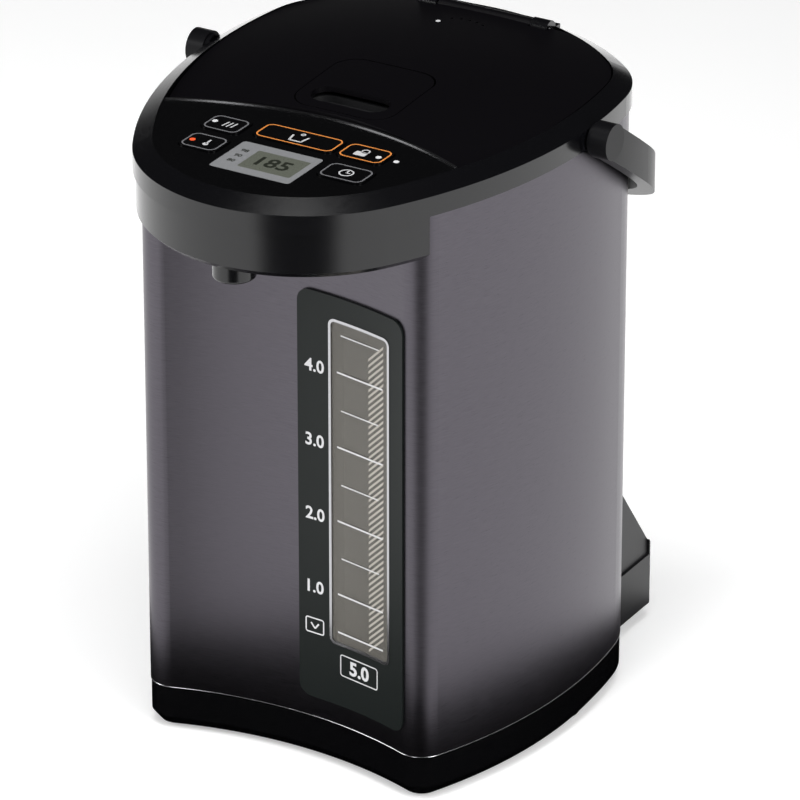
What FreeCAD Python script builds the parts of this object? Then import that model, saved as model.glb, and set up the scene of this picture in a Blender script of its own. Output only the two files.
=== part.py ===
import FreeCAD, Part
import math
import os

os.makedirs("parts", exist_ok=True)
Vec = FreeCAD.Vector

# Driving sizes of the pot, in millimetres.
half_width = 111.0
widest_y = 35.0
nose_y = -142.0
nose_radius = 86.0
rear_y = 144.0
rear_radius = 135.0
rear_corner_radius = 55.0
body_step = 1.5
front_y = -69.1
front_radius = 214.8
front_corner_radius = 14.0
sheet = 0.8

# Levels are drawn from the top of the base floor's raised rim and lifted when a shape is saved.
stand_z = -6.0
base_bottom = -4.0
plate_top = -1.6
base_top = 20.0
beak_bottom = 298.0
ring_bottom = 322.0
crease_z = 332.5
deck_z = 338.0
crown_z = 343.0
ring_slope = 10.0

# The lid starts behind an arc across the top.
lid_arc_centre_y = -218.0
lid_arc_radius = 186.0
lid_gap = 0.8
dome_radius = 960.0
hinge_y = 123.5
hinge_z = 337.5
lid_rear_y = 131.0

# The water vessel and what seals on it.
vessel_y = 45.0
vessel_radius = 87.5
vessel_floor = 52.0
vessel_rim = 300.0
throat_radius = 64.0
throat_deck_z = 302.0
rim_top = 309.0

# The water gauge on the front face.
tube_x = 33.0
tube_y = -64.0
gauge_x0 = 3.0
gauge_x1 = 71.0
gauge_z0 = 32.0
gauge_z1 = 262.0
window_x0 = 22.0
window_x1 = 62.0
window_z0 = 67.0
window_z1 = 250.0

# The carrying handle and its pivot.
pivot_y = 37.0
pivot_z = 326.0
handle_slope = 34.0
handle_height = 17.5
handle_gap = 3.2
handle_thickness = 9.0
handle_hub_radius = 9.5
boss_radius = 8.0
stop_radius = 5.6

# Keys on the control panel: centre x, centre y, width, depth.
keys = {
    "key_dispense": (0.0, -62.0, 46.0, 18.0),
    "key_unlock": (38.0, -62.0, 26.0, 18.0),
    "key_timer": (42.0, -87.0, 26.0, 18.0),
    "key_reboil": (-40.0, -66.0, 22.0, 18.0),
    "key_temp": (-38.0, -90.0, 22.0, 18.0),
}
key_gap = 0.4
display_x = 1.0
display_y = -95.0
display_width = 46.0
display_depth = 34.0

# The power inlet at the rear right.
inlet_x0 = 16.0
inlet_x1 = 84.0
inlet_rear = 158.0
inlet_z0 = 3.0
inlet_z1 = 38.0
inlet_slope = 1.35
inlet_ledge_z = 32.5
inlet_pin_z = 18.0
inlet_pin_places = (40.0, 60.0)


def box(x0, x1, y0, y1, z0, z1):
    return Part.makeBox(x1 - x0, y1 - y0, z1 - z0, Vec(x0, y0, z0))


def cylinder(radius, x, y, z0, z1):
    return Part.makeCylinder(radius, z1 - z0, Vec(x, y, z0))


def tube(outer, inner, x, y, z0, z1):
    return cylinder(outer, x, y, z0, z1).cut(cylinder(inner, x, y, z0, z1))


def rod_x(radius, x0, x1, y, z):
    return Part.makeCylinder(radius, x1 - x0, Vec(x0, y, z), Vec(1, 0, 0))


def rod_y(radius, x, y0, y1, z):
    return Part.makeCylinder(radius, y1 - y0, Vec(x, y0, z), Vec(0, 1, 0))


def unit(vector):
    return vector * (1.0 / vector.Length)


def prism(wire, z0, z1):
    face = Part.Face(wire)
    face.translate(Vec(0, 0, z0))
    return face.extrude(Vec(0, 0, z1 - z0))


def taper(lower_wire, z0, upper_wire, z1):
    low = lower_wire.translated(Vec(0, 0, z0))
    high = upper_wire.translated(Vec(0, 0, z1))
    return Part.makeLoft([low, high], True, True)


def mirrored(shape):
    return shape.mirror(Vec(0, 0, 0), Vec(1, 0, 0))


def both_sides(shape):
    return shape.fuse(mirrored(shape))


def rounded_plate(x, y, width, depth, radius, z0, z1):
    block = box(x - width / 2, x + width / 2, y - depth / 2, y + depth / 2, z0, z1)
    upright = [e for e in block.Edges if abs(e.tangentAt(e.FirstParameter).z) > 0.99]
    return block.makeFillet(radius, upright)


def circle_meeting(first, first_radius, second, second_radius, side):
    """Point where two circles in the plan cross, on the side given by the sign."""
    gap = second - first
    along = (first_radius ** 2 - second_radius ** 2 + gap.Length ** 2) / (2 * gap.Length)
    across = math.sqrt(first_radius ** 2 - along ** 2)
    direction = unit(gap)
    normal = Vec(-direction.y, direction.x, 0) * side
    return first + direction * along + normal * across


def arc(centre, start, end):
    radius = (start - centre).Length
    middle = centre + unit((start - centre) + (end - centre)) * radius
    return Part.Arc(start, middle, end).toShape()


def flipped(point):
    return Vec(-point.x, point.y, point.z)


# Circles of the plan outline. Each touches the next one, so the outline is smooth.
nose_centre = Vec(0, nose_y + nose_radius, 0)
side_rise = widest_y - nose_centre.y
side_radius = (half_width ** 2 + side_rise ** 2 - nose_radius ** 2) / (2 * (half_width - nose_radius))
side_centre = Vec(half_width - side_radius, widest_y, 0)
rear_centre = Vec(0, rear_y - rear_radius, 0)
rear_corner_centre = circle_meeting(
    side_centre, side_radius - rear_corner_radius, rear_centre, rear_radius - rear_corner_radius, 1)
front_centre = Vec(0, front_y - front_radius, 0)
front_corner_centre = circle_meeting(
    side_centre, side_radius - body_step - front_corner_radius,
    front_centre, front_radius + front_corner_radius, 1)


def rear_points(inset):
    side_to_corner = side_centre + unit(rear_corner_centre - side_centre) * (side_radius - inset)
    corner_to_rear = rear_centre + unit(rear_corner_centre - rear_centre) * (rear_radius - inset)
    return side_to_corner, corner_to_rear


def pot_outline(inset):
    """Outline of the top ring, moved in by the inset."""
    nose_to_side = side_centre + unit(nose_centre - side_centre) * (side_radius - inset)
    side_to_corner, corner_to_rear = rear_points(inset)
    edges = [
        arc(nose_centre, flipped(nose_to_side), nose_to_side),
        arc(side_centre, nose_to_side, side_to_corner),
        arc(rear_corner_centre, side_to_corner, corner_to_rear),
        arc(rear_centre, corner_to_rear, flipped(corner_to_rear)),
        arc(flipped(rear_corner_centre), flipped(corner_to_rear), flipped(side_to_corner)),
        arc(flipped(side_centre), flipped(side_to_corner), flipped(nose_to_side)),
    ]
    return Part.Wire(edges)


def body_outline(inset):
    """Outline of the metal body with its hollowed front, moved in by the inset."""
    outer = body_step + inset
    front_to_corner = front_centre + unit(front_corner_centre - front_centre) * (front_radius + inset)
    corner_to_side = side_centre + unit(front_corner_centre - side_centre) * (side_radius - outer)
    side_to_corner, corner_to_rear = rear_points(outer)
    edges = [
        arc(front_centre, flipped(front_to_corner), front_to_corner),
        arc(front_corner_centre, front_to_corner, corner_to_side),
        arc(side_centre, corner_to_side, side_to_corner),
        arc(rear_corner_centre, side_to_corner, corner_to_rear),
        arc(rear_centre, corner_to_rear, flipped(corner_to_rear)),
        arc(flipped(rear_corner_centre), flipped(corner_to_rear), flipped(side_to_corner)),
        arc(flipped(side_centre), flipped(side_to_corner), flipped(corner_to_side)),
        arc(flipped(front_corner_centre), flipped(corner_to_side), flipped(front_to_corner)),
    ]
    return Part.Wire(edges)


def lid_arc(radius_change, z0, z1):
    return cylinder(lid_arc_radius + radius_change, 0, lid_arc_centre_y, z0, z1)


def lid_region(inset, arc_change, rear, z0, z1):
    """Part of the pot's plan that lies behind the lid's front arc."""
    whole = prism(pot_outline(inset), z0, z1)
    limit = box(-150, 150, -100, rear, z0, z1)
    return whole.common(limit).cut(lid_arc(arc_change, z0 - 1, z1 + 1))


def dome(drop):
    return Part.makeSphere(dome_radius, Vec(0, vessel_y, crown_z - drop - dome_radius))


def front_patch(near, far, x0, x1, z0, z1, corner):
    """Curved plate that follows the hollow front face, between two depths behind it."""
    ring = cylinder(front_radius + far, 0, front_centre.y, z0, z1)
    ring = ring.cut(cylinder(front_radius + near, 0, front_centre.y, z0 - 1, z1 + 1))
    block = box(x0, x1, -100, -20, z0, z1)
    along_y = [e for e in block.Edges if abs(e.tangentAt(e.FirstParameter).y) > 0.99]
    return ring.common(block.makeFillet(corner, along_y))


def pipe(points, bend, radius):
    """Round rod along straight runs joined by bends of one radius."""
    edges = []
    start = points[0]
    for before, corner, after in zip(points, points[1:], points[2:]):
        arrive = unit(corner - before)
        leave = unit(after - corner)
        half_turn = arrive.getAngle(leave) / 2
        cut_back = bend * math.tan(half_turn)
        first = corner - arrive * cut_back
        last = corner + leave * cut_back
        inward = unit(leave - arrive)
        middle = corner + inward * (bend / math.cos(half_turn) - bend)
        edges.append(Part.makeLine(start, first))
        edges.append(Part.Arc(first, middle, last).toShape())
        start = last
    edges.append(Part.makeLine(start, points[-1]))
    path = Part.Wire(edges)
    ends = Part.Circle(points[0], points[1] - points[0], radius).toShape()
    return path.makePipeShell([Part.Wire(ends)], True, True)


def hose(points, bend, outer, inner):
    return pipe(points, bend, outer).cut(pipe(points, bend, inner))


def coil(radius, wire, pitch, height, start, direction):
    """Round-wire spring standing on its start point."""
    helix = Part.makeHelix(pitch, height, radius)
    section = Part.Circle(Vec(radius, 0, 0), Vec(0, 1, 0), wire).toShape()
    spring = Part.Wire(helix.Edges).makePipeShell([Part.Wire(section)], True, True)
    turn = FreeCAD.Rotation(Vec(0, 0, 1), direction)
    spring.Placement = FreeCAD.Placement(start, turn)
    return spring


def save(name, shape):
    clean = shape.removeSplitter()
    if not clean.isValid():
        clean = shape.copy()
    clean.translate(Vec(0, 0, -stand_z))
    clean.exportStep("parts/" + name + ".step")
    print(name, len(clean.Solids), clean.isValid(), round(clean.Volume / 1000, 2))


def make_body():
    sleeve = prism(body_outline(0), base_top, ring_bottom)
    sleeve = sleeve.cut(prism(body_outline(sheet), base_top, ring_bottom))
    sleeve = sleeve.cut(box(window_x0 - 1, window_x1 + 1, -90, -60, window_z0 - 1, window_z1 + 1))
    sleeve = sleeve.cut(box(-72, 72, -90, -60, beak_bottom + 3, ring_bottom))
    sleeve = sleeve.cut(inlet_block(0.3))
    save("outer_sleeve", sleeve)

    base = taper(body_outline(5), base_bottom, body_outline(0.4), 2)
    base = base.fuse(prism(body_outline(0.4), 2, base_top))
    base = base.cut(prism(body_outline(8), base_bottom, plate_top))
    base = base.cut(prism(body_outline(3.2), plate_top, base_top))
    for x, y, rib in bottom_screw_places():
        boss = cylinder(4, x, y, plate_top, 10).fuse(rib)
        base = base.fuse(boss).cut(cylinder(1.5, x, y, plate_top, 7))
    save("base_shell", base.cut(inlet_block(0.3)))

    plate = prism(body_outline(8), base_bottom, plate_top)
    head_top = base_bottom + 1.4
    screws = []
    for x, y, rib in bottom_screw_places():
        plate = plate.cut(cylinder(3.4, x, y, base_bottom, head_top)).cut(cylinder(1.5, x, y, head_top, plate_top))
        screws.append(cylinder(3.2, x, y, base_bottom, head_top).fuse(cylinder(1.5, x, y, head_top, 6.5)))
    save("bottom_plate", plate)
    save("bottom_screws", Part.Compound(screws))
    places = ((0, 0), (60, -50), (-60, -50), (68, 90), (-68, 90))
    feet = [cylinder(8, x, y, stand_z, base_bottom) for x, y in places]
    save("feet", Part.Compound(feet))


def bottom_screw_places():
    return [
        (95, 35, box(95, 107, 33, 37, plate_top, 10)),
        (-95, 35, box(-107, -95, 33, 37, plate_top, 10)),
        (0, -56, box(-2, 2, -66.2, -56, plate_top, 10)),
        (0, 128, box(-2, 2, 128, 139.8, plate_top, 10)),
    ]


def inlet_block(grow):
    """Block of the inlet housing with its sloped hood, grown on every side."""
    lift = math.hypot(1, inlet_slope) * grow
    low = inlet_z0 - grow
    rear = inlet_rear + grow
    rear_top = inlet_z1 + lift - inlet_slope * grow
    inner_top = inlet_z1 + lift + inlet_slope * (inlet_rear - 112)
    places = ((112, low), (rear, low), (rear, rear_top), (112, inner_top), (112, low))
    face = Part.Face(Part.makePolygon([Vec(inlet_x0 - grow, y, z) for y, z in places]))
    block = face.extrude(Vec(inlet_x1 - inlet_x0 + 2 * grow, 0, 0))
    flange_y = inlet_rear - 2.5
    ledge = inlet_ledge_z + grow
    block = block.cut(box(inlet_x1 - 1.5 + grow, inlet_x1 + 2, 110, flange_y, ledge, 120))
    return block.cut(box(inlet_x0 - 2, inlet_x0 + 1.5 - grow, 110, flange_y, ledge, 120))


def make_top_ring():
    ring = prism(pot_outline(0), ring_bottom, crease_z)
    ring = ring.fuse(taper(pot_outline(0), crease_z, pot_outline(ring_slope), deck_z))
    well = lid_region(ring_slope, 0, lid_rear_y + lid_gap, ring_bottom, deck_z)
    ring = ring.cut(well)
    panel_seat = prism(pot_outline(ring_slope), 336, deck_z).common(lid_arc(0, 330, 340))
    ring = ring.cut(panel_seat)
    front_room = prism(pot_outline(ring_slope + 4), ring_bottom, 336)
    front_room = front_room.fuse(prism(pot_outline(ring_slope), ring_bottom, 333.5))
    ring = ring.cut(front_room.common(lid_arc(-3, 300, 340)))
    channel = prism(pot_outline(2.5), ring_bottom, 331).cut(prism(pot_outline(8), ring_bottom, 331))
    ring = ring.cut(channel)
    ring = ring.fuse(both_sides(hinge_lug()))
    ring = ring.fuse(both_sides(rod_x(6, 103, 110.5, pivot_y, pivot_z).common(box(100, 112, 20, 50, 322, 334))))
    ring = ring.fuse(both_sides(rod_x(1.5, 109.5, 114, pivot_y - stop_radius, pivot_z)))
    ring = ring.cut(both_sides(rod_x(3, 103, 112, pivot_y, pivot_z)))
    ring = ring.cut(rod_x(1.5, -41, 41, hinge_y, hinge_z))
    ring = ring.cut(box(-8.5, 8.5, -36, -30, 326, 331))
    save("top_ring", ring)
    pins = rod_x(3, 103, 117.2, pivot_y, pivot_z)
    save("handle_pins", Part.Compound([pins, mirrored(pins)]))
    save("hinge_pin", rod_x(1.5, -38.5, 38.5, hinge_y, hinge_z))


def hinge_lug():
    barrel = rod_x(5, 28, 38, hinge_y, hinge_z)
    block = box(28, 38, hinge_y, 133.5, ring_bottom, hinge_z)
    return barrel.fuse(block)


def make_beak():
    beak = taper(pot_outline(4.5), beak_bottom, pot_outline(1.5), beak_bottom + 3)
    beak = beak.fuse(prism(pot_outline(1.5), beak_bottom + 3, ring_bottom))
    beak = beak.common(box(-120, 120, -150, -78, beak_bottom, ring_bottom))
    front_limit = prism(body_outline(0), beak_bottom, ring_bottom)
    beak = beak.cut(front_limit)
    centre_strip = prism(pot_outline(1.5), beak_bottom, ring_bottom)
    centre_strip = centre_strip.common(box(-62, 62, -78, -60, beak_bottom, ring_bottom)).cut(front_limit)
    beak = beak.fuse(centre_strip)
    room = prism(pot_outline(4), beak_bottom + 2.5, ring_bottom)
    room = room.common(box(-120, 120, -150, -60, beak_bottom, ring_bottom))
    room = room.cut(prism(body_outline(-2.2), beak_bottom, ring_bottom))
    beak = beak.cut(room)
    beak = beak.cut(box(-24, 24, -80, -60, beak_bottom + 4, ring_bottom))
    beak = beak.cut(cylinder(6.2, 0, -124, beak_bottom - 1, beak_bottom + 4))
    save("beak_housing", beak)


def make_control_panel():
    plate = prism(pot_outline(ring_slope), 336, deck_z).common(lid_arc(-0.2, 330, 340))
    for x, y, width, depth in keys.values():
        plate = plate.cut(rounded_plate(x, y, width + 2 * key_gap, depth + 2 * key_gap, 4.4, 335, 339))
    opening = rounded_plate(display_x, display_y, display_width, display_depth, 2, 335, 339)
    save("control_panel", plate.cut(opening))
    strip = lid_arc(-0.4, deck_z, deck_z + 0.5).cut(lid_arc(-1.8, deck_z - 1, deck_z + 1))
    save("panel_trim", strip.common(prism(pot_outline(ring_slope + 1), deck_z, deck_z + 0.5)))
    save("display_window", rounded_plate(display_x, display_y, display_width, display_depth, 2, 336.6, deck_z))
    lcd = box(display_x - 18, display_x + 20, display_y - 13, display_y + 13, 331.5, 336.6)
    save("lcd_module", lcd)

    board = box(-56, 56, -114, -53.5, 325, 326.6).common(prism(pot_outline(13), 324, 328))
    board = board.fuse(box(-14, 18, -104, -86, 326.6, 331.5))
    for name, (x, y, width, depth) in keys.items():
        board = board.fuse(box(x - 3.5, x + 3.5, y - 3.5, y + 3.5, 326.6, 330.6))
        cap = rounded_plate(x, y, width, depth, 4, 335.9, 338.6)
        flange = rounded_plate(x, y, width + 1.6, depth + 1.6, 4.6, 335.1, 335.9)
        stem = cylinder(2, x, y, 331.6, 335.2)
        save(name, cap.fuse(flange).fuse(stem))
    save("control_board", board)


def make_gauge():
    panel = front_patch(-1.5, 0, gauge_x0, gauge_x1, gauge_z0, gauge_z1, 7)
    panel = panel.cut(front_patch(-2, 1, window_x0, window_x1, window_z0, window_z1, 4))
    save("gauge_panel", panel)
    rim = front_patch(-1.9, -0.2, window_x0, window_x1, window_z0, window_z1, 4)
    inner_x0 = window_x0 + 1.5
    inner_x1 = window_x1 - 1.5
    inner_z0 = window_z0 + 1.5
    inner_z1 = window_z1 - 1.5
    rim = rim.cut(front_patch(-3, 1, inner_x0, inner_x1, inner_z0, inner_z1, 2.5))
    save("gauge_rim", rim)
    save("gauge_window", front_patch(-1.2, 0.4, inner_x0, inner_x1, inner_z0, inner_z1, 2.5))
    back = front_patch(15.6, 17, gauge_x0 + 11, gauge_x1 - 1, 50, 268, 3)
    save("gauge_back", back)
    save("sight_tube", tube(6, 4.6, tube_x, tube_y, 44, 272))


def make_water_path():
    rise = [Vec(tube_x, tube_y, 264), Vec(tube_x, tube_y, 311), Vec(0, tube_y, 311), Vec(0, -84, 311)]
    save("riser_hose", hose(rise, 12, 4.6, 3.4))
    body = rod_y(9, 0, -110, -84, 311).cut(rod_y(6.5, 0, -107, -87, 311))
    body = body.cut(rod_y(4.6, 0, -88, -83, 311)).cut(rod_y(4, 0, -111, -106, 311))
    body = body.fuse(rod_y(6.2, 0, -84, -79, 311).cut(rod_y(4.6, 0, -85, -78, 311)))
    save("valve_body", body)
    save("valve_ball", Part.makeSphere(5.6, Vec(0, -93, 311)))
    turn = [Vec(0, -107.5, 311), Vec(0, -124, 311), Vec(0, -124, 292)]
    save("spout_elbow", hose(turn, 9, 4, 2.9))
    nozzle = cylinder(11, 0, -124, 288, beak_bottom).cut(cylinder(4, 0, -124, 291.9, beak_bottom))
    nozzle = nozzle.cut(cylinder(3.6, 0, -124, 287, 292))
    lip = [e for e in nozzle.Edges if e.BoundBox.ZMax < 288.1 and e.BoundBox.XLength > 20]
    save("nozzle", nozzle.makeFillet(1.5, lip))
    away = unit(Vec(tube_x, tube_y, 0))
    port = away * 17
    supply = [Vec(port.x, port.y, 36), Vec(tube_x, tube_y, 36), Vec(tube_x, tube_y, 54)]
    save("pump_hose", hose(supply, 9, 4.6, 3.4))


def make_pump():
    away = unit(Vec(tube_x, tube_y, 0))
    body = cylinder(17, 0, 0, 30, 42).cut(cylinder(13, 0, 0, 32, 42))
    port = Part.makeCylinder(5.9, 12, away * 12 + Vec(0, 0, 36), away)
    body = body.fuse(port).cut(cylinder(13, 0, 0, 32, 42))
    body = body.cut(Part.makeCylinder(4.6, 9, away * 17 + Vec(0, 0, 36), away))
    body = body.cut(Part.makeCylinder(3.4, 9, away * 10 + Vec(0, 0, 36), away))
    save("pump_body", body.fuse(cylinder(1.5, 0, 0, 31, 40)))
    cover = cylinder(17, 0, 0, 42, 44.5).fuse(cylinder(7.5, 0, 0, 44, 50)).cut(cylinder(5, 0, 0, 41, 51))
    save("pump_cover", cover)
    impeller = cylinder(11.5, 0, 0, 32.6, 35).fuse(cylinder(4, 0, 0, 32.6, 39))
    for index in range(6):
        blade = box(3, 11, -0.6, 0.6, 34.5, 40)
        blade.rotate(Vec(0, 0, 0), Vec(0, 0, 1), 60 * index)
        impeller = impeller.fuse(blade)
    save("impeller", impeller.cut(cylinder(1.56, 0, 0, 32, 41)))
    can = cylinder(16, 0, 0, plate_top, 23).cut(cylinder(14.5, 0, 0, 0.5, 21.5))
    can = can.cut(cylinder(1.56, 0, 0, -1, 24))
    can = can.fuse(tube(19, 17, 0, 0, 24, 32)).fuse(tube(19, 16, 0, 0, 20, 24))
    can = can.cut(Part.makeCylinder(6.6, 12, away * 12 + Vec(0, 0, 36), away))
    save("motor_can", can)
    rotor = cylinder(1.5, 0, 0, -0.6, 27).fuse(cylinder(9, 0, 0, 9, 19)).fuse(cylinder(11.5, 0, 0, 25.2, 29.3))
    save("motor_rotor", rotor)


def make_vessel():
    outer_radius = vessel_radius + sheet
    outside = cylinder(outer_radius, 0, vessel_y, vessel_floor - sheet, vessel_rim)
    inside = cylinder(vessel_radius, 0, vessel_y, vessel_floor, vessel_rim + 1)
    low_outside = [e for e in outside.Edges if e.BoundBox.ZMax < vessel_floor]
    low_inside = [e for e in inside.Edges if e.BoundBox.ZMax < vessel_floor + 0.1]
    vessel = outside.makeFillet(12.8, low_outside).fuse(cylinder(93, 0, vessel_y, vessel_rim - 1, vessel_rim))
    vessel = vessel.cut(inside.makeFillet(12, low_inside))
    vessel = vessel.fuse(cylinder(5, 0, 0, 46, vessel_floor - sheet)).cut(cylinder(4.1, 0, 0, 45, vessel_floor + 1))
    save("inner_vessel", vessel)
    save("vessel_seal", tube(92.5, 88.5, 0, vessel_y, vessel_rim, throat_deck_z))
    save("insulation_jacket", tube(93, 89.5, 0, vessel_y, 66, 290))

    deck = prism(body_outline(sheet), throat_deck_z, throat_deck_z + 3)
    deck = deck.fuse(cylinder(throat_radius + 3, 0, vessel_y, throat_deck_z, rim_top))
    deck = deck.cut(cylinder(throat_radius, 0, vessel_y, throat_deck_z - 1, rim_top + 1))
    deck = deck.cut(cylinder(7.5, tube_x, tube_y, 300, 310)).cut(cylinder(4, -50, -62, 300, 310))
    save("throat_deck", deck)

    rods = []
    for x, y in ((92, 78.5), (88, 2)):
        rods.append(cylinder(2, x, y, plate_top, throat_deck_z))
        rods.append(cylinder(2, -x, y, plate_top, throat_deck_z))
    save("tie_rods", Part.Compound(rods))

    cradle = tube(74, 68, 0, vessel_y, 47, vessel_floor - sheet)
    for angle in (90, 210, 330):
        x = 71 * math.cos(math.radians(angle))
        y = vessel_y + 71 * math.sin(math.radians(angle))
        cradle = cradle.fuse(box(x - 3, x + 3, y - 3, y + 3, plate_top, 48))
    save("vessel_cradle", cradle)

    heater = tube(36, 9, 0, 62, 47.2, vessel_floor - sheet)
    save("heater", heater)
    sensors = [cylinder(6, 0, 62, 42, vessel_floor - sheet), cylinder(8, 24, 62, 39, 47.2), cylinder(8, -24, 62, 39, 47.2)]
    save("thermal_sensors", Part.Compound(sensors))


def make_power():
    board = box(-56, -10, 34, 104, 9, 10.6)
    board = board.fuse(box(-50, -24, 40, 62, 10.6, 30)).fuse(box(-48, -38, 72, 92, 10.6, 22))
    for x, y in ((-52, 38), (-14, 38), (-52, 100), (-14, 100)):
        board = board.fuse(cylinder(3, x, y, plate_top, 9))
    save("power_board", board)
    signal = pipe([Vec(-53, 60, 13), Vec(-78, 60, 13), Vec(-78, -62, 13), Vec(-50, -62, 13), Vec(-50, -62, 325)], 8, 2.2)
    feed = pipe([Vec(40, 126, 18), Vec(40, 112, 18), Vec(-4, 98, 18), Vec(-24, 98, 18), Vec(-24, 98, 10.6)], 3, 1.6)
    heat = pipe([Vec(24, 62, 39), Vec(24, 62, 18), Vec(-18, 62, 18), Vec(-18, 62, 10.6)], 4, 1.6)
    save("wire_loom", Part.Compound([signal, feed, heat]))

    housing = inlet_block(0)
    rear_edges = [e for e in housing.Edges if e.BoundBox.YMin > inlet_rear - 0.01 and e.BoundBox.XLength < 1]
    housing = housing.makeFillet(2, rear_edges)
    housing = housing.cut(box(inlet_x0 + 3, inlet_x1 - 3, 111, 133, inlet_z0 + 3, 47))
    housing = housing.cut(cylinder(94.5, 0, vessel_y, 44, 120))
    housing = housing.cut(rounded_recess())
    pins = []
    for x in inlet_pin_places:
        housing = housing.cut(rod_y(2.5, x, 132, 138, inlet_pin_z))
        pins.append(rod_y(2.5, x, 126, 151, inlet_pin_z))
    save("inlet_housing", housing)
    save("inlet_pins", Part.Compound(pins))


def rounded_recess():
    block = box(28, 72, 136, inlet_rear + 1, inlet_pin_z - 11, inlet_pin_z + 11)
    along_y = [e for e in block.Edges if abs(e.tangentAt(e.FirstParameter).y) > 0.99]
    return block.makeFillet(4, along_y)


def make_handle():
    strap = prism(pot_outline(-handle_gap - handle_thickness), 180, 360)
    strap = strap.cut(prism(pot_outline(-handle_gap), 180, 360))
    slab = box(-160, 160, pivot_y, 240, pivot_z - handle_height / 2, pivot_z + handle_height / 2)
    slab.rotate(Vec(0, pivot_y, pivot_z), Vec(1, 0, 0), -handle_slope)
    strap = strap.common(slab)
    hub_end = half_width + handle_gap + handle_thickness + 0.3
    hub = rod_x(handle_hub_radius, 113.7, hub_end, pivot_y, pivot_z)
    hub = hub.fuse(rod_x(boss_radius, 111.7, 113.7, pivot_y, pivot_z))
    handle = strap.fuse(both_sides(hub)).cut(both_sides(rod_x(3.06, 111, 118, pivot_y, pivot_z)))
    save("handle", handle.cut(both_sides(stop_groove())))


def stop_groove():
    """Groove in the hub that runs over the fixed stop pin as the handle swings."""
    half = 1.75
    low = Vec(111, pivot_y - stop_radius - half, pivot_z)
    corners = [low, low + Vec(3.6, 0, 0), low + Vec(3.6, 2 * half, 0), low + Vec(0, 2 * half, 0), low]
    face = Part.Face(Part.makePolygon(corners))
    groove = face.revolve(Vec(0, pivot_y, pivot_z), Vec(1, 0, 0), -124)
    near = rod_x(half, 111, 114.6, pivot_y - stop_radius, pivot_z)
    far = near.copy()
    far.rotate(Vec(0, pivot_y, pivot_z), Vec(1, 0, 0), -124)
    return groove.fuse(near).fuse(far)


def make_lid():
    cover = lid_region(ring_slope + lid_gap, lid_gap, lid_rear_y, 330, 345).common(dome(0))
    room = lid_region(ring_slope + lid_gap + 2.5, lid_gap + 2.5, lid_rear_y - 2.5, 329, 345).common(dome(2.5))
    cover = cover.cut(room)
    cover = cover.cut(rounded_plate(0, 1.35, 58, 60.5, 13, 325, 350))
    behind = box(38.7, 150, 121.8, 140, 325, 350)
    slot = box(27.4, 38.7, 117.6, 140, 325, 350)
    cover = cover.cut(both_sides(behind.fuse(slot)))
    cover = cover.fuse(rod_x(4, -27.4, 27.4, hinge_y, hinge_z))
    cover = cover.cut(rod_x(1.56, -40, 40, hinge_y, hinge_z))
    cover = cover.cut(box(-9, 9, -36, -26, 325.5, 331.6))
    brackets = both_sides(box(29.5, 33, 21, 29, 333, 341).common(dome(1)))
    cover = cover.fuse(brackets).cut(rod_x(1.5, -32, 32, 25, 337))
    for x in (-9.2, -4.6, 0, 4.6, 9.2):
        cover = cover.cut(cylinder(0.9, x, 106 - 0.03 * x * x, 330, 350))
    for x, y in lid_screw_places():
        cover = cover.fuse(cylinder(4, x, y, 316, 337)).cut(cylinder(1.5, x, y, 315, 331))
    save("lid_cover", cover)

    tray = lid_region(ring_slope + lid_gap + 2.5, lid_gap + 2.5, 120, 312, 332)
    tray = tray.cut(lid_region(ring_slope + lid_gap + 4.5, lid_gap + 4.5, 118, 314, 333))
    pocket = rounded_plate(0, -13, 50, 22, 9, 313, 336)
    pocket = pocket.cut(rounded_plate(0, -13, 46, 18, 8, 332.5, 337))
    pocket = pocket.cut(rounded_plate(0, -13, 46, 18, 8, 311, 330.5))
    tray = tray.cut(rounded_plate(0, -13, 46, 18, 8, 311, 315)).fuse(pocket)
    tray = tray.cut(cylinder(5, 0, 100, 311, 315))
    tray = tray.cut(box(-9, 9, -36, -24.1, 325.5, 333))
    screws = []
    for x, y in lid_screw_places():
        tray = tray.cut(cylinder(1.5, x, y, 311, 315))
        screws.append(cylinder(1.5, x, y, 312, 330).fuse(cylinder(3, x, y, 310.6, 312)))
    save("lid_base", tray)
    save("lid_screws", Part.Compound(screws))

    plate = cylinder(62, 0, vessel_y, 310.4, 312).cut(cylinder(3.5, 0, 100, 310, 313))
    save("inner_lid", plate)
    save("lid_gasket", tube(69, 62, 0, vessel_y, rim_top + 0.1, 312))
    vent = cylinder(5, 0, 100, 312, 331).fuse(cylinder(12, 0, 100, 330, 338.2))
    vent = vent.cut(cylinder(10.5, 0, 100, 331.5, 339)).cut(cylinder(3.5, 0, 100, 311, 332))
    save("steam_vent", vent)


def lid_screw_places():
    return [(76, 5), (-76, 5), (74, 84), (-74, 84)]


def make_latch():
    flap = rounded_plate(0, 1.0, 57, 58.4, 12.5, 330, 350).common(dome(0)).cut(dome(3))
    flap = flap.cut(rounded_plate(0, -13, 44, 17, 8.4, 330, 350))
    knuckle = rod_x(3.4, -22, 22, 25, 337)
    tongue = box(-8, 8, -27, -24.4, 327, 341).common(dome(1))
    flap = flap.fuse(knuckle).fuse(tongue).cut(rod_x(1.56, -30, 30, 25, 337))
    save("latch_flap", flap)
    save("latch_pin", rod_x(1.5, -32, 32, 25, 337))
    bolt = box(-8, 8, -46, -32.5, 326.5, 330.5)
    save("latch_bolt", bolt)
    housing = box(-12, 12, -52, -35, 323.5, 333.5).cut(box(-8.4, 8.4, -50.4, -34, 326.1, 330.9))
    housing = housing.cut(lid_arc_wall())
    save("latch_housing", housing)
    save("latch_spring", coil(1.4, 0.3, 1.1, 3.6, Vec(0, -50.05, 328.5), Vec(0, 1, 0)))


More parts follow.
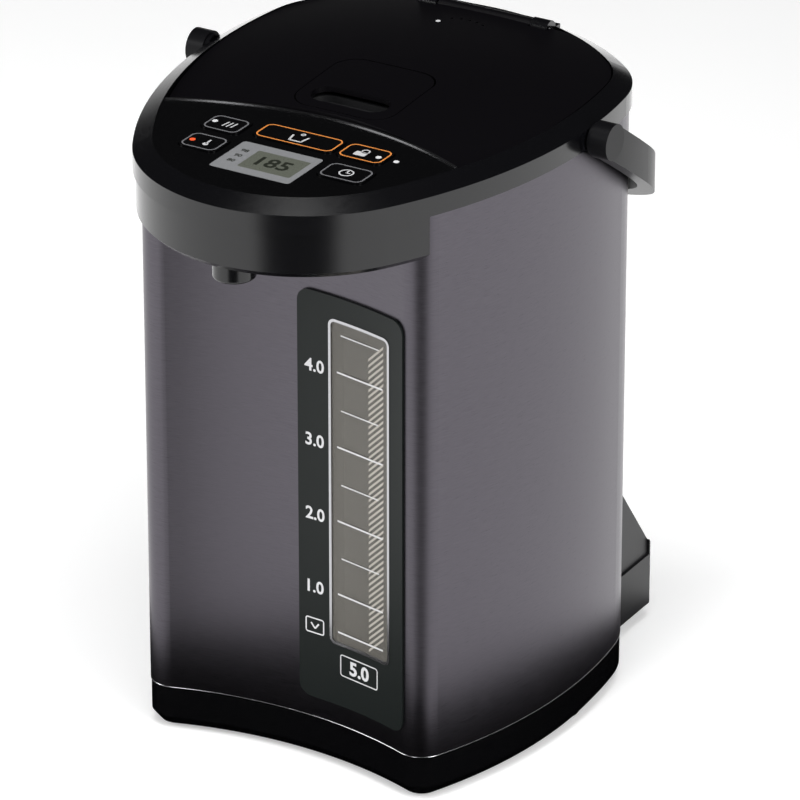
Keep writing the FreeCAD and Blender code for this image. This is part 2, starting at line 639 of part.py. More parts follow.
def lid_arc_wall():
    """Space of the ring's cross wall, which the latch housing stands against."""
    return box(-20, 20, -60, -20, 320, 336).cut(lid_arc(-3, 319, 337))


make_body()
make_top_ring()
make_beak()
make_control_panel()
make_gauge()
make_water_path()
make_pump()
make_vessel()
make_power()
make_handle()
make_lid()
make_latch()
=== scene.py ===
import math
import bpy
import numpy as np
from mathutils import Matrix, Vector


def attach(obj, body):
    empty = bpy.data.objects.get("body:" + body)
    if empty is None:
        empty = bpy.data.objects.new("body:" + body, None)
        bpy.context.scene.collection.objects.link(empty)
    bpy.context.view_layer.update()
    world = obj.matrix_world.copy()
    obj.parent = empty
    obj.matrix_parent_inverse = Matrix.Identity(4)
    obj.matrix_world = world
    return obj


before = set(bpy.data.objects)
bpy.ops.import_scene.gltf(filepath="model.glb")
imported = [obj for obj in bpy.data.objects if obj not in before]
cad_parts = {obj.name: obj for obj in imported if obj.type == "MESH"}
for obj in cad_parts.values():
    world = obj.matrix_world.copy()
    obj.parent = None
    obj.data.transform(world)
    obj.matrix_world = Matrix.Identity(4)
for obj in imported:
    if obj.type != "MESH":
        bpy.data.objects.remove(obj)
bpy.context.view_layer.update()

print("frame loaded:", len(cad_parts), "nodes")

# The pot stands on z = 0, its spout towards -Y. All sizes here are metres.
mm = 0.001
frontCurve = dict(radius=214.8 * mm, centreY=-283.9 * mm)   # hollow front face, seen from above
deckTop = 344.0                                             # control panel's face, mm
keyTop = 344.6                                              # faces of the keys, mm
film = 0.05                                                 # thickness of printing, mm
letterDepth = 0.05                                          # depth that lettering is first made with


def linear(hexColour):
    # sRGB hex to linear RGBA
    parts = [int(hexColour[i:i + 2], 16) / 255 for i in (1, 3, 5)]
    return tuple(c / 12.92 if c <= 0.04045 else ((c + 0.055) / 1.055) ** 2.4 for c in parts) + (1.0,)


def addNode(tree, kind, settings=None, links=None):
    # settings: input name or attribute -> value; links: input name -> output socket
    node = tree.nodes.new(kind)
    for name, value in (settings or {}).items():
        if name in node.inputs:
            node.inputs[name].default_value = value
        else:
            setattr(node, name, value)
    for name, socket in (links or {}).items():
        tree.links.new(socket, node.inputs[name])
    return node


def newMaterial(name, **shader):
    # One principled shader with its constants on its own sockets.
    material = bpy.data.materials.new(name)
    material.use_nodes = True
    tree = material.node_tree
    tree.nodes.clear()
    names = dict(colour="Base Color", roughness="Roughness", metallic="Metallic", ior="IOR",
                 anisotropic="Anisotropic", alpha="Alpha", specular="Specular IOR Level",
                 sheen="Sheen Weight", glow="Emission Color", glowStrength="Emission Strength")
    surface = addNode(tree, "ShaderNodeBsdfPrincipled", {names[k]: v for k, v in shader.items()})
    addNode(tree, "ShaderNodeOutputMaterial", {}, {"Surface": surface.outputs["BSDF"]})
    return material, tree, surface


def grain(tree, surface, size, stretch=(1, 1, 1), bump=0.1, lift=0.02, rough=None, tint=None, detail=3):
    # Noise of a real grain size in metres, stretched per axis: its height is the bump, and where asked its
    # middle part is also spread evenly over a range of roughness and between two colours.
    place = addNode(tree, "ShaderNodeTexCoord")
    scaled = addNode(tree, "ShaderNodeMapping", {"Scale": stretch}, {"Vector": place.outputs["Object"]})
    noise = addNode(tree, "ShaderNodeTexNoise", {"Scale": 1 / size, "Detail": detail},
                    {"Vector": scaled.outputs["Vector"]})
    relief = addNode(tree, "ShaderNodeBump", {"Strength": bump, "Distance": lift * mm},
                     {"Height": noise.outputs["Fac"]})
    tree.links.new(relief.outputs["Normal"], surface.inputs["Normal"])
    if rough:
        spread = addNode(tree, "ShaderNodeMapRange", {"From Min": 0.3, "From Max": 0.7, "To Min": rough[0],
                         "To Max": rough[1]}, {"Value": noise.outputs["Fac"]})
        tree.links.new(spread.outputs["Result"], surface.inputs["Roughness"])
    if tint:
        ramp = addNode(tree, "ShaderNodeValToRGB", {}, {"Fac": noise.outputs["Fac"]})
        ramp.color_ramp.elements[0].position = 0.3
        ramp.color_ramp.elements[1].position = 0.7
        ramp.color_ramp.elements[0].color = linear(tint[0])
        ramp.color_ramp.elements[1].color = linear(tint[1])
        tree.links.new(ramp.outputs["Color"], surface.inputs["Base Color"])
    return noise


finishes = {}


def moulded(name, dark, light, roughness, size, bump, **shader):
    # Moulded plastic: fine spark-eroded grain, a little colour variation.
    material, tree, surface = newMaterial(name, roughness=roughness, **shader)
    grain(tree, surface, size * mm, bump=bump, lift=0.05, rough=(roughness - 0.04, roughness + 0.04),
          tint=(dark, light))
    finishes[name] = material
    return material


def brushed(name, dark, light, roughness, across=(1, 1, 60), size=6.0, bump=0.25, **shader):
    # Brushed metal: noise drawn out along the brushing, short across it.
    material, tree, surface = newMaterial(name, metallic=1.0, roughness=roughness, **shader)
    grain(tree, surface, size * mm, stretch=across, bump=bump, lift=0.03,
          rough=(roughness - 0.07, roughness + 0.07), tint=(dark, light), detail=5)
    finishes[name] = material
    return material


def ink(name, colour, roughness=0.45, **shader):
    # Printed legend: an even film with a faint screen-print mottle.
    material, tree, surface = newMaterial(name, colour=linear(colour), roughness=roughness, **shader)
    grain(tree, surface, 0.25 * mm, bump=0.05, lift=0.01, rough=(roughness - 0.05, roughness + 0.05))
    finishes[name] = material
    return material


# The sleeve: coated steel brushed level, so it has soft upright highlights and fine level lines.
brushed("tintedBrushedSteel", "#4f4c52", "#5e5b61", 0.34, across=(1, 1, 70), anisotropic=0.5)
# Pressed stainless sheet: pale, with a wide soft shine.
brushed("satinStainless", "#b4b3b2", "#cfcecd", 0.28, across=(1, 1, 40))
# Plated screws and pins: bright and tight.
brushed("platedSteel", "#a9a9ab", "#c6c6c8", 0.22, across=(1, 30, 30), size=3)
# Die-cast heater: dull grey with a coarse skin.
brushed("castAluminium", "#8f9092", "#b3b4b6", 0.42, across=(1, 1, 1), size=1.2)
# Turned brass pins: warm, with rings from the lathe.
brushed("turnedBrass", "#a8843c", "#c9a45c", 0.25, across=(30, 1, 30), size=2)
# Polished metal strip: a thin bright line.
brushed("polishedTrim", "#a3a3a6", "#b8b8bb", 0.2, across=(1, 8, 8), size=2, bump=0.05)

# Moulded plastics, from glossy to dull; the last colours are inside the pot.
moulded("glossBlack", "#040405", "#070708", 0.22, size=1.6, bump=0.02, specular=0.35)   # ABS base, polished
moulded("panelBlack", "#030304", "#050506", 0.2, size=1.6, bump=0.015, specular=0.3)    # smooth film panel
moulded("charcoalPlastic", "#060608", "#0a0a0c", 0.17, size=0.5, bump=0.02)             # ABS ring, glossy
moulded("satinBlackLid", "#050407", "#080709", 0.42, size=0.3, bump=0.22, specular=0.12)  # fine spark grain
moulded("plainBlack", "#0e0e10", "#151517", 0.5, size=0.4, bump=0.2)                    # dull polypropylene
moulded("gaugeGrey", "#141817", "#191d1c", 0.4, size=0.4, bump=0.05, specular=0.15)     # even satin grey
moulded("handleBlack", "#0a0a0c", "#0f0f11", 0.34, size=0.5, bump=0.04, specular=0.12)  # satin, soft glint
moulded("scaleBeige", "#7d7a72", "#88857c", 0.5, size=0.5, bump=0.05)                   # warm backing plate
moulded("circuitGreen", "#1f5a33", "#2a6b3e", 0.4, size=1.2, bump=0.1)                  # lacquered board
moulded("naturalWhite", "#d2d0c8", "#e3e1da", 0.45, size=0.8, bump=0.08)                # uncoloured nylon
moulded("siliconeGrey", "#6d6d70", "#7a7a7d", 0.5, size=0.7, bump=0.1)                  # soft, waxy shine
moulded("footRubber", "#111112", "#1a1a1b", 0.75, size=0.3, bump=0.3)                   # matt, no highlight
moulded("wireInsulation", "#8a2018", "#9d2a20", 0.42, size=0.8, bump=0.05)              # red silicone sleeve
moulded("greyFelt", "#a9a69c", "#c2bfb5", 0.95, size=0.6, bump=0.8, sheen=0.4)          # fibres, pale rim
moulded("displayFrame", "#77787a", "#838486", 0.4, size=0.6, bump=0.03)                 # light satin frame
moulded("lcdFilm", "#55584f", "#5c5f56", 0.3, size=0.8, bump=0.02)                      # green-grey polariser

# Screen-printed inks and small lenses.
ink("lightInk", "#c4c4c6")
ink("dimInk", "#6a6a6d")
ink("orangeInk", "#d9863f")
ink("lcdInk", "#23261f", 0.35)
ink("hatchInk", "#9b978f", 0.5)
ink("paleLens", "#dcdcde", 0.2)


def clearPane(name, tone, alpha, roughness):
    # Clear moulded pane: mostly see-through, with a faint surface ripple.
    material, tree, surface = newMaterial(name, colour=linear(tone), alpha=alpha, roughness=roughness,
                                          ior=1.49)
    grain(tree, surface, 8 * mm, bump=0.02, lift=0.05)
    finishes[name] = material


clearPane("clearPane", "#66635d", 0.62, 0.35)     # smoked acrylic, a veil over the scale
clearPane("clearTube", "#6d6f6b", 0.6, 0.12)      # glass-clear tube with tight glints
amber = linear("#e0502a")                         # the one lit lamp
material, tree, surface = newMaterial("amberLamp", colour=amber, roughness=0.3, glow=amber, glowStrength=0.6)
grain(tree, surface, 0.5 * mm, bump=0.05)
finishes["amberLamp"] = material

nodeFinish = {
    "outer_sleeve": "tintedBrushedSteel", "base_shell": "glossBlack", "bottom_plate": "plainBlack",
    "bottom_screws": "platedSteel", "feet": "footRubber", "top_ring": "charcoalPlastic",
    "handle_pins": "platedSteel", "hinge_pin": "platedSteel", "beak_housing": "charcoalPlastic",
    "control_panel": "panelBlack", "panel_trim": "polishedTrim", "display_window": "displayFrame",
    "lcd_module": "lcdFilm", "control_board": "circuitGreen", "gauge_panel": "gaugeGrey",
    "gauge_rim": "polishedTrim", "gauge_window": "clearPane", "gauge_back": "scaleBeige",
    "sight_tube": "clearTube", "riser_hose": "siliconeGrey", "valve_body": "naturalWhite",
    "spout_elbow": "siliconeGrey", "nozzle": "charcoalPlastic", "pump_hose": "siliconeGrey",
    "pump_body": "naturalWhite", "pump_cover": "naturalWhite", "motor_can": "platedSteel",
    "inner_vessel": "satinStainless", "vessel_seal": "siliconeGrey", "insulation_jacket": "greyFelt",
    "throat_deck": "plainBlack", "tie_rods": "platedSteel", "vessel_cradle": "satinStainless",
    "heater": "castAluminium", "thermal_sensors": "turnedBrass", "power_board": "circuitGreen",
    "wire_loom": "wireInsulation", "inlet_housing": "plainBlack", "inlet_pins": "turnedBrass",
    "latch_housing": "plainBlack", "latch_spring": "platedSteel", "lid_cover": "satinBlackLid",
    "lid_base": "plainBlack", "lid_screws": "platedSteel", "inner_lid": "satinStainless",
    "lid_gasket": "siliconeGrey", "steam_vent": "naturalWhite", "latch_pin": "platedSteel",
    "latch_flap": "satinBlackLid", "latch_bolt": "naturalWhite", "handle": "handleBlack",
    "key_dispense": "panelBlack", "key_unlock": "panelBlack", "key_timer": "panelBlack",
    "key_reboil": "panelBlack", "key_temp": "panelBlack",
    "motor_rotor": "platedSteel", "impeller": "naturalWhite", "valve_ball": "siliconeGrey",
}
for node, finish in nodeFinish.items():
    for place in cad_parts[node].material_slots:
        place.material = finishes[finish]

# Moulded edges are softly rounded, so they catch the light as a thin line. Widths in mm.
edgeRounding = {"top_ring": 0.5, "beak_housing": 0.5, "lid_cover": 0.35, "latch_flap": 0.3, "handle": 2.6,
                "gauge_panel": 0.4, "base_shell": 0.5, "nozzle": 0.5, "inlet_housing": 0.4,
                "outer_sleeve": 0.12}
for node, width in edgeRounding.items():
    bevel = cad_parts[node].modifiers.new("roundedEdges", "BEVEL")
    bevel.width = width * mm
    bevel.segments = 3
    bevel.limit_method = "ANGLE"
    bevel.angle_limit = math.radians(38)
    bevel.harden_normals = True
print("materials on", len(nodeFinish), "nodes")


def makeMesh(name, shapes, finish, body="pot", smooth=False):
    # shapes: (points in mm, faces) pairs, joined into one object
    points, faces, start = [], [], 0
    for shapePoints, shapeFaces in shapes:
        points.append(shapePoints)
        faces += [[start + i for i in face] for face in shapeFaces]
        start += len(shapePoints)
    mesh = bpy.data.meshes.new(name)
    mesh.from_pydata((np.concatenate(points) * mm).tolist(), [], faces)
    mesh.materials.append(finishes[finish])
    mesh.shade_smooth() if smooth else mesh.shade_flat()
    obj = bpy.data.objects.new(name, mesh)
    bpy.context.collection.objects.link(obj)
    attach(obj, body)
    return obj


def roundedLoop(width, depth, radius, steps=8):
    # Rounded rectangle about the origin, anticlockwise: four quarter circles joined by straights.
    angle = np.linspace(0, math.pi / 2, steps)
    turns = np.arange(4)[:, None] * math.pi / 2 + angle[None, :]
    sides = np.array([(1, 1), (-1, 1), (-1, -1), (1, -1)])[:, None, :]
    centres = sides * np.array([width / 2 - radius, depth / 2 - radius])
    return (centres + radius * np.stack([np.cos(turns), np.sin(turns)], -1)).reshape(-1, 2)


def circleLoop(radius, steps=28):
    # radius times the cosine and sine of even steps round the circle
    angle = np.linspace(0, 2 * math.pi, steps, endpoint=False)
    return radius * np.stack([np.cos(angle), np.sin(angle)], 1)


def barLoop(start, end, width):
    # Corners of a straight stroke: each end, half the width to either side across its direction.
    start, end = np.array(start, float), np.array(end, float)
    along = (end - start) / np.hypot(*(end - start))
    across = np.array([-along[1], along[0]]) * width / 2
    return np.stack([start - across, end - across, end + across, start + across])


def slab(loop, lift=film, depth=2 * film):
    # Flat piece inside an anticlockwise loop, its top at the lift and its underside one depth lower.
    n = len(loop)
    z = np.repeat([lift, lift - depth], n)[:, None]
    i = np.arange(n)
    j = (i + 1) % n
    walls = np.stack([j, i, i + n, j + n], 1).tolist()
    return np.concatenate([np.concatenate([loop, loop]), z], 1), [i.tolist(), (i + n)[::-1].tolist()] + walls


def band(outer, inner, lift=film, depth=2 * film):
    # Flat outline between two anticlockwise loops of equal count.
    n = len(outer)
    flat = np.concatenate([outer, inner, inner, outer])
    z = np.repeat([lift, lift, lift - depth, lift - depth], n)[:, None]
    i = np.arange(n)
    j = (i + 1) % n
    walls = [np.stack([i + a * n, j + a * n, j + b * n, i + b * n], 1)
             for a, b in ((0, 1), (1, 2), (2, 3), (3, 0))]
    return np.concatenate([flat, z], 1), np.concatenate(walls).tolist()


def outline(width, depth, radius, line):
    # Rounded rectangle drawn as a line: the outer loop less the one inside it by the line's width.
    inner = roundedLoop(width - 2 * line, depth - 2 * line, radius - line)
    return band(roundedLoop(width, depth, radius), inner)


def ringShape(radius, line):
    # A circle drawn as a line.
    return band(circleLoop(radius), circleLoop(radius - line))


def textShape(text, height, weight=0.02):
    # Characters as a closed flat mesh, centred, with the given digit height.
    curve = bpy.data.curves.new("lettering", "FONT")
    curve.body = text
    curve.offset = weight
    curve.extrude = letterDepth
    curve.resolution_u = 3
    obj = bpy.data.objects.new("lettering", curve)
    bpy.context.collection.objects.link(obj)
    bpy.context.view_layer.update()
    mesh = bpy.data.meshes.new_from_object(obj.evaluated_get(bpy.context.evaluated_depsgraph_get()))
    points = np.empty(len(mesh.vertices) * 3)
    mesh.vertices.foreach_get("co", points)
    points = points.reshape(-1, 3)
    faces = [list(face.vertices) for face in mesh.polygons]
    bpy.data.objects.remove(obj)
    bpy.data.meshes.remove(mesh)
    bpy.data.curves.remove(curve)
    low, high = points.min(0), points.max(0)
    scale = height / (high[1] - low[1])
    points[:, :2] = (points[:, :2] - (low[:2] + high[:2]) / 2) * scale
    points[:, 2] = points[:, 2] / letterDepth * film
    return points, faces


def moved(shape, x, y, z=0.0):
    # The shape with its points shifted.
    points, faces = shape
    return points + [x, y, z], faces


def onFront(shape, proud):
    # Lays a flat drawing (x, height) on the hollow front face: y follows the face's circle, less what the
    # drawing stands proud.
    points, faces = shape
    x, z, lift = points.T
    reach = frontCurve["radius"] / mm - proud - lift
    y = frontCurve["centreY"] / mm + np.sqrt(reach ** 2 - x ** 2)
    return np.stack([x, y, z], 1), faces


# Generic signs for the keys, drawn in mm about their centres.
signs = {
    "cup": [slab(barLoop((-3, 1.2), (-2.2, -3), 0.7)), slab(barLoop((-2.4, -3), (2.4, -3), 0.7)),
            slab(barLoop((2.2, -3), (3, 1.2), 0.7)), moved(ringShape(0.9, 0.5), 0, 2.6)],
    "padlock": [moved(slab(roundedLoop(5, 3.6, 0.6)), 0, -1.2), moved(ringShape(1.8, 0.6), 0.9, 1.4)],
    "clock": [ringShape(3, 0.6), slab(barLoop((0, -0.2), (0, 2), 0.6)),
              slab(barLoop((-0.2, 0), (1.6, 0), 0.6))],
    "heat": [slab(barLoop((x, -2.6), (x + 0.8, 2.6), 0.7)) for x in (-2.6, -0.4, 1.8)],
    "thermometer": [moved(slab(circleLoop(1.4)), 0, -1.9), slab(barLoop((0, -1.6), (0, 3), 0.9))],
}

# Keys: outline round each, sign, and a lamp on some. Sizes and places in mm on the panel.
panelKeys = {
    "dispense_key": dict(x=0, y=-62, width=44, depth=16, ink="orangeInk", sign="cup", signAt=(0, 0),
                         scale=1.5),
    "unlock_key": dict(x=38, y=-62, width=24, depth=16, ink="orangeInk", sign="padlock", signAt=(-2, 0),
                       scale=1.3, lamp=(46, -63)),
    "timer_key": dict(x=42, y=-87, width=24, depth=16, ink="dimInk", sign="clock", signAt=(0, 0), scale=1.3),
    "reboil_key": dict(x=-40, y=-66, width=20, depth=16, ink="dimInk", sign="heat", signAt=(2, 0), scale=1.1,
                       lamp=(-47, -65.5)),
    "temp_key": dict(x=-38, y=-90, width=20, depth=16, ink="dimInk", sign="thermometer", signAt=(2, 0),
                     scale=1.1, lamp=(-44.5, -90.5), lampFinish="amberLamp"),
}
keyOutline = dict(corner=4, line=0.8)
lampLens = dict(radius=1.5, proud=0.12, depth=0.2)
lens = slab(circleLoop(lampLens["radius"]), lampLens["proud"], lampLens["depth"])
for body, key in panelKeys.items():
    line = outline(key["width"], key["depth"], keyOutline["corner"], keyOutline["line"])
    makeMesh("outline_" + body, [moved(line, key["x"], key["y"], keyTop)], key["ink"], body)
    sign = [(points * [key["scale"], key["scale"], 1], faces) for points, faces in signs[key["sign"]]]
    signX, signY = key["x"] + key["signAt"][0], key["y"] + key["signAt"][1]
    makeMesh("sign_" + body, [moved(shape, signX, signY, keyTop) for shape in sign], "lightInk", body)
    if "lamp" in key:
        makeMesh("lamp_" + body, [moved(lens, *key["lamp"], keyTop)], key.get("lampFinish", "paleLens"), body)
print("key legends")

# Display: a dark liquid crystal field in the light frame, three digits, a small column of numbers.
display = dict(fieldAt=(5.5, -95), fieldSize=(30, 21), fieldCorner=1, reading="185", digitHeight=10.5,
               column=("98", "90", "80"), columnAt=(-15.5, -88), columnStep=6.5, columnHeight=3.2,
               slowLamp=(55.5, -62))
field = moved(slab(roundedLoop(*display["fieldSize"], display["fieldCorner"])), *display["fieldAt"], deckTop)
makeMesh("lcd_field", [field], "lcdFilm")
digits = moved(textShape(display["reading"], display["digitHeight"]), *display["fieldAt"], deckTop + 2 * film)
makeMesh("lcd_digits", [digits], "lcdInk")
columnX, columnY = display["columnAt"]
column = [moved(textShape(number, display["columnHeight"]), columnX, columnY - display["columnStep"] * row,
                deckTop) for row, number in enumerate(display["column"])]
makeMesh("display_column", column, "lcdInk")
makeMesh("slow_lamp", [moved(lens, *display["slowLamp"], deckTop)], "paleLens")
print("display")

# Water gauge printing. Heights in mm above the table, widths in mm to the right of the middle.
gauge = dict(faceProud=1.5, paneProud=1.2, firstLitre=102.0, perLitre=41.6, lowest=80.2, numberX=13.2,
             numberHeight=7.2, longTick=(27, 57), shortTick=(29.5, 54.5), line=0.9, shortLine=0.63)
hatching = dict(across=(47.5, 57.5), low=76, high=240, pitch=3.4, line=1.5)
lowMark = dict(at=(12.6, 79.5), size=(11.5, 9), corner=1.4, frame=0.7, stroke=0.9,    # boxed down arrow
               arrow=((-2.4, 1.4), (0, -1.6), (2.4, 1.4)))
fullMark = dict(at=(41, 62), size=(25, 12.5), corner=1.6, frame=0.6, text="5.0", height=8.2, weight=0.03)


def tick(reach, height, line):
    # A level stroke on the scale.
    return slab(barLoop((reach[0], height), (reach[1], height), line))


numbers, ticks = [], []
for litre in (1, 2, 3, 4):
    height = gauge["firstLitre"] + gauge["perLitre"] * (litre - 1)
    numbers.append(moved(textShape("%d.0" % litre, gauge["numberHeight"]), gauge["numberX"], height))
    ticks.append(tick(gauge["longTick"], height, gauge["line"]))
    ticks.append(tick(gauge["shortTick"], height + gauge["perLitre"] / 2, gauge["shortLine"]))
ticks.append(tick(gauge["longTick"], gauge["lowest"], gauge["line"]))
numbers.append(moved(outline(*lowMark["size"], lowMark["corner"], lowMark["frame"]), *lowMark["at"]))
for start, end in zip(lowMark["arrow"], lowMark["arrow"][1:]):
    numbers.append(moved(slab(barLoop(start, end, lowMark["stroke"])), *lowMark["at"]))
numbers.append(moved(outline(*fullMark["size"], fullMark["corner"], fullMark["frame"]), *fullMark["at"]))
fullText = textShape(fullMark["text"], fullMark["height"], fullMark["weight"])
numbers.append(moved(fullText, *fullMark["at"]))
makeMesh("gauge_numbers", [onFront(shape, gauge["faceProud"]) for shape in numbers], "lightInk")
makeMesh("gauge_ticks", [onFront(shape, gauge["paneProud"]) for shape in ticks], "lightInk")
x0, x1 = hatching["across"]
hatch = [slab(np.array([(x0, z), (x1, z + x1 - x0), (x1, z + x1 - x0 + hatching["line"]),
                        (x0, z + hatching["line"])]))
         for z in np.arange(hatching["low"], hatching["high"], hatching["pitch"])]
underTicks = 0.02    # the hatching lies this much lower than the ticks, mm
makeMesh("gauge_hatching", [onFront(shape, gauge["paneProud"] - underTicks) for shape in hatch], "hatchInk")
print("gauge printing")


def arcPoints(centre, radius, start, end, steps):
    # centre plus radius times cosine and sine of even steps between two angles
    angle = np.radians(np.linspace(start, end, steps))
    return np.array(centre) + radius * np.stack([np.cos(angle), np.sin(angle)], 1)


def circlesMeet(first, firstRadius, second, secondRadius):
    # The crossing of two circles that lies to the left when looking from the first to the second.
    gap = second - first
    length = np.hypot(*gap)
    along = (firstRadius ** 2 - secondRadius ** 2 + length ** 2) / (2 * length)
    across = math.sqrt(firstRadius ** 2 - along ** 2)
    direction = gap / length
    return first + direction * along + np.array([-direction[1], direction[0]]) * across


def bearing(origin, point):
    # Angle of the line from the origin to the point, in degrees.
    return math.degrees(math.atan2(point[1] - origin[1], point[0] - origin[0]))


# The sleeve seen from above, in mm: a chain of touching arcs, one step inside those of the ring.
sleeve = dict(halfWidth=111.0, widestY=35.0, noseY=-142.0, noseRadius=86.0, step=1.5, rearCentreY=9.0,
              rearRadius=135.0, rearCorner=55.0, frontCorner=14.0)


def sleeveOutline(inset):
    # Right half as hollow front, front corner, side, rear corner and rear arc, each drawn in by the inset
    # (the hollow arc outwards), then mirrored.
    noseCentre = np.array([0, sleeve["noseY"] + sleeve["noseRadius"]])
    rise = sleeve["widestY"] - noseCentre[1]
    spread = sleeve["halfWidth"] ** 2 + rise ** 2 - sleeve["noseRadius"] ** 2
    sideRadius = spread / (2 * (sleeve["halfWidth"] - sleeve["noseRadius"]))
    side = np.array([sleeve["halfWidth"] - sideRadius, sleeve["widestY"]])
    rear, rearRadius = np.array([0, sleeve["rearCentreY"]]), sleeve["rearRadius"]
    cornerRadius = sleeve["rearCorner"]
    corner = circlesMeet(side, sideRadius - cornerRadius, rear, rearRadius - cornerRadius)
    front, frontRadius = np.array([0, frontCurve["centreY"] / mm]), frontCurve["radius"] / mm
    step, frontCorner = sleeve["step"], sleeve["frontCorner"]
    turn = circlesMeet(side, sideRadius - step - frontCorner, front, frontRadius + frontCorner)
    half = [
        arcPoints(front, frontRadius + inset, 90, bearing(front, turn), 60),
        arcPoints(turn, frontCorner - inset, bearing(front, turn) - 180, bearing(side, turn), 16),
        arcPoints(side, sideRadius - step - inset, bearing(side, turn), bearing(side, corner), 60),
        arcPoints(corner, cornerRadius - step - inset, bearing(side, corner), bearing(rear, corner), 24),
        arcPoints(rear, rearRadius - step - inset, bearing(rear, corner), 90, 30),
    ]
    right = np.concatenate([part[:-1] for part in half] + [half[-1][-1:]])
    return np.concatenate([right, (right * [-1, 1])[::-1][1:-1]])


# Pale line where the metal sleeve meets the black base, along the sleeve's lower edge.
seam = dict(top=25.98, height=0.9, outerInset=0.05, innerInset=0.6)
seamBand = band(sleeveOutline(seam["outerInset"]), sleeveOutline(seam["innerInset"]), seam["top"],
                seam["height"])
makeMesh("base_seam_line", [seamBand], "polishedTrim", smooth=True)

# A printed dot on the lid beside the steam vent.
lidTop = dict(centreY=45.0, crown=349.0, radius=960.0)


def onLid(shape):
    # Lays a flat drawing on the domed lid: the height drops by the square of the distance over twice the
    # dome's radius.
    points, faces = shape
    x, y, lift = points.T
    drop = (x ** 2 + (y - lidTop["centreY"]) ** 2) / (2 * lidTop["radius"])
    return np.stack([x, y, lidTop["crown"] - drop + lift], 1), faces


lidDot = dict(at=(-13.0, 96.0), radius=1.3, proud=0.1, depth=0.2)
dot = moved(slab(circleLoop(lidDot["radius"]), lidDot["proud"], lidDot["depth"]), *lidDot["at"])
makeMesh("lid_dot", [onLid(dot)], "paleLens", "lid")
print("seam line and lid marks")

# Camera at the photograph's viewing angle, a long lens.
cameraView = dict(azimuth=30.56, elevation=25.95, distance=3.3118, lens=290.7, aim=(0, 0, 0.176),
                  across=0.01809, up=-0.00132)
azimuth, elevation = math.radians(cameraView["azimuth"]), math.radians(cameraView["elevation"])
back = Vector((math.sin(azimuth) * math.cos(elevation), -math.cos(azimuth) * math.cos(elevation),
               math.sin(elevation)))
right = Vector((math.cos(azimuth), math.sin(azimuth), 0))
up = back.cross(right)
cameraData = bpy.data.cameras.new("camera")
cameraData.sensor_width = 36
cameraData.lens = cameraView["lens"]
cameraData.clip_start, cameraData.clip_end = 0.05, 20
camera = bpy.data.objects.new("camera", cameraData)
bpy.context.collection.objects.link(camera)
camera.location = (Vector(cameraView["aim"]) + back * cameraView["distance"] + right * cameraView["across"]
                   + up * cameraView["up"])
camera.rotation_mode = "QUATERNION"
camera.rotation_quaternion = (-back).to_track_quat("-Z", "Y")
bpy.context.scene.camera = camera

# Pale floor and soft studio light.
ground = dict(half=6, colour="#f4f4f4", glow=0.3, disc=0.2, discRise=0.0005)


def stagePiece(name, corners, material):
    # One flat face of the set, not part of the pot.
    mesh = bpy.data.meshes.new(name)
    mesh.from_pydata(corners, [], [list(range(len(corners)))])
    mesh.materials.append(material)
    obj = bpy.data.objects.new(name, mesh)
    bpy.context.collection.objects.link(obj)
    return obj


half = ground["half"]
floorPaint = newMaterial("paleFloor", colour=linear(ground["colour"]), roughness=0.9, glow=linear("#ffffff"),
                         glowStrength=ground["glow"])[0]
floorCorners = [(-half, -half, 0), (half, -half, 0), (half, half, 0), (-half, half, 0)]
floor = stagePiece("floor", floorCorners, floorPaint)
floor.visible_glossy = False

# A dark disc under the pot, seen only in its own shine: the low parts of the body mirror it.
discEdge = [(x, y, ground["discRise"]) for x, y in circleLoop(ground["disc"], 48).tolist()]
darkCloth = newMaterial("darkDisc", colour=linear("#050505"), roughness=1.0, specular=0.0)[0]
disc = stagePiece("darkDisc", discEdge, darkCloth)
disc.visible_camera = disc.visible_diffuse = disc.visible_shadow = False

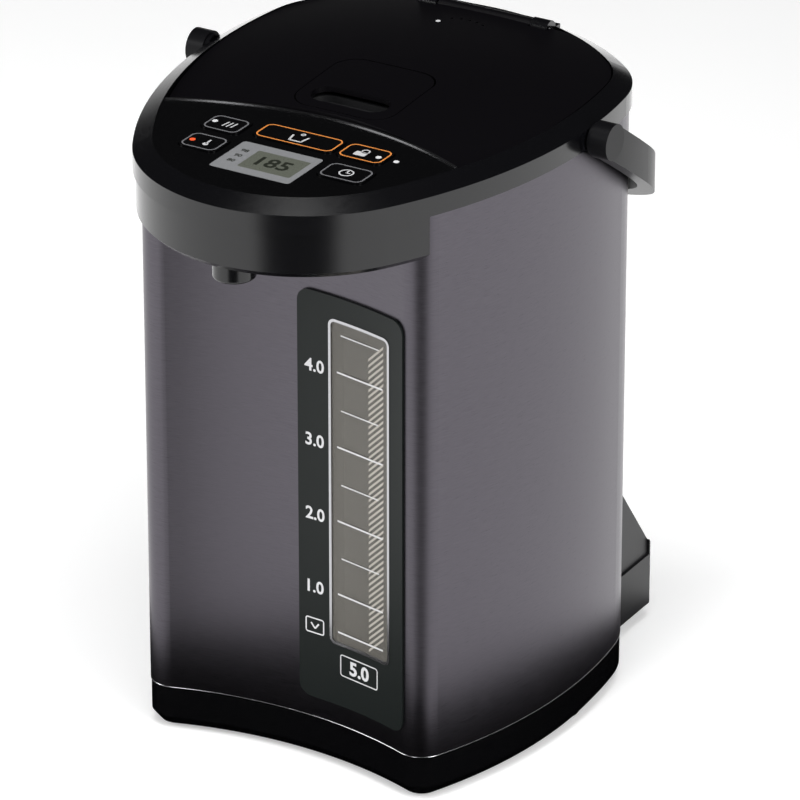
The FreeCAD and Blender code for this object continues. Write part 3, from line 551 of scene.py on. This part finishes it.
studio = {
    "leftPanel": dict(place=(-1.7, -1.3, 0.9), size=(0.9, 1.8), power=30),
    "rightPanel": dict(place=(2.0, -0.5, 1.0), size=(1.0, 1.8), power=36),
    "topPanel": dict(place=(0.3, -0.6, 2.3), size=(1.6, 1.6), power=44),
    "frontPanel": dict(place=(0.1, -2.4, 1.0), size=(0.5, 1.4), power=14),
}
potMiddle = Vector((0, 0, 0.17))
for name, lamp in studio.items():
    light = bpy.data.lights.new(name, "AREA")
    light.shape = "RECTANGLE"
    light.size, light.size_y = lamp["size"]
    light.energy = lamp["power"]
    obj = bpy.data.objects.new(name, light)
    bpy.context.collection.objects.link(obj)
    obj.location = lamp["place"]
    obj.rotation_mode = "QUATERNION"
    obj.rotation_quaternion = (potMiddle - obj.location).to_track_quat("-Z", "Y")

# The room: dark above, a bright sweep below the horizon for upright faces to mirror, and a dark gap in that
# sweep on the camera's side.
room = dict(above=0.02, sweep=1.5, gap=0.02, gapAzimuth=26, gapEdge=(0.77, 0.87), horizon=(-0.15, 0.1))
world = bpy.data.worlds.new("studioRoom")
world.use_nodes = True
tree = world.node_tree
direction = addNode(tree, "ShaderNodeTexCoord").outputs["Generated"]
height = addNode(tree, "ShaderNodeSeparateXYZ", {}, {"Vector": direction}).outputs["Z"]
below = addNode(tree, "ShaderNodeMapRange", {"From Min": room["horizon"][0], "From Max": room["horizon"][1],
                "To Min": 1.0, "To Max": 0.0}, {"Value": height}).outputs["Result"]
gapAngle = math.radians(room["gapAzimuth"])
facing = addNode(tree, "ShaderNodeVectorMath", {"operation": "DOT_PRODUCT"}, {})
facing.inputs[1].default_value = (math.sin(gapAngle), -math.cos(gapAngle), 0)
tree.links.new(direction, facing.inputs[0])
gap = addNode(tree, "ShaderNodeMapRange", {"interpolation_type": "SMOOTHSTEP", "From Min": room["gapEdge"][0],
              "From Max": room["gapEdge"][1], "To Min": room["sweep"], "To Max": room["gap"]},
              {"Value": facing.outputs["Value"]}).outputs["Result"]
sweep = addNode(tree, "ShaderNodeMath", {"operation": "MULTIPLY"}, {})
tree.links.new(below, sweep.inputs[0])
tree.links.new(gap, sweep.inputs[1])
strength = addNode(tree, "ShaderNodeMath", {"operation": "ADD"}, {})
tree.links.new(sweep.outputs["Value"], strength.inputs[0])
strength.inputs[1].default_value = room["above"]
tree.links.new(strength.outputs["Value"], tree.nodes["Background"].inputs["Strength"])
tree.nodes["Background"].inputs["Color"].default_value = (1, 1, 1, 1)
bpy.context.scene.world = world
bpy.context.scene.view_settings.view_transform = "Standard"
print("camera, floor and lights")
